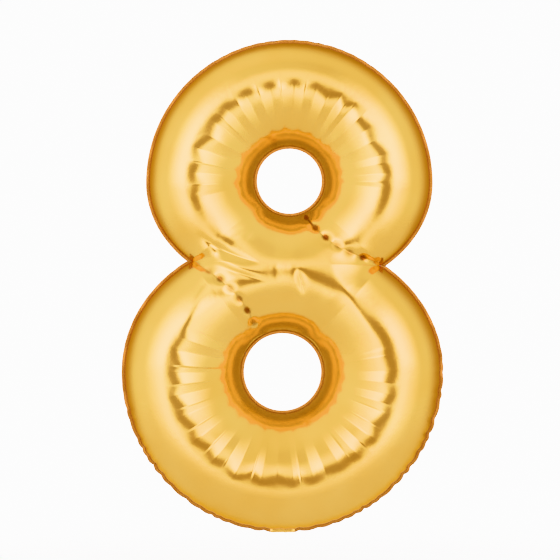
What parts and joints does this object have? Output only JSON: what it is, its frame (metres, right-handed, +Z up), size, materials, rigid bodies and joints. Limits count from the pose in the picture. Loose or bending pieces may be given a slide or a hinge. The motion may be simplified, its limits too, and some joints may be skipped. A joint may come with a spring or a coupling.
{
  "type": "foil number balloon",
  "caption": "Inflated foil balloon in the shape of the figure 8, with a welded rim, dashed waist welds, a fold-away filling tail and a flat self-closing valve.",
  "frame": {"origin": "where the filling tail leaves the bottom of the rim, on the middle plane; the ribbon is tied here", "axes": "+X to the right of a person reading the figure, +Y from the front sheet to the back sheet, +Z up the figure"},
  "size_m": [0.564, 0.1522, 0.8609],
  "materials": {
    "gold_film": "mirror-bright gold metallised film",
    "gold_seal": "heat-welded metallised film, dulled by the sealing bar",
    "valve_film": "clear polyethylene film"
  },
  "bodies": {
    "balloon": {"front_panel": "gold_film", "back_panel": "gold_film", "rim_seal": "gold_seal", "upper_hole_seal": "gold_seal", "lower_hole_seal": "gold_seal", "upper_waist_welds": "gold_seal", "lower_waist_welds": "gold_seal", "valve_throat": "valve_film", "valve_back_film": "valve_film"},
    "valve_flap": {"valve_front_film": "valve_film"},
    "tail": {"tail_front_ply": "gold_film", "tail_back_ply": "gold_film", "tail_edge_seals": "gold_seal", "inlet_front_film": "valve_film", "inlet_back_film": "valve_film", "inlet_edge_welds": "valve_film"}
  },
  "joints": [
    {"name": "tail_fold", "type": "hinge", "parent": "balloon", "child": "tail", "pos_m": [0, 0, 0], "axis": [-1, 0, 0], "range_deg": [0, 204]},
    {"name": "valve_opening", "type": "hinge", "parent": "balloon", "child": "valve_flap", "pos_m": [0, -0.0003, 0.0084], "axis": [1, 0, 0], "range_deg": [0, 12], "stiffness_Nm_per_rad": 0.001}
  ]
}
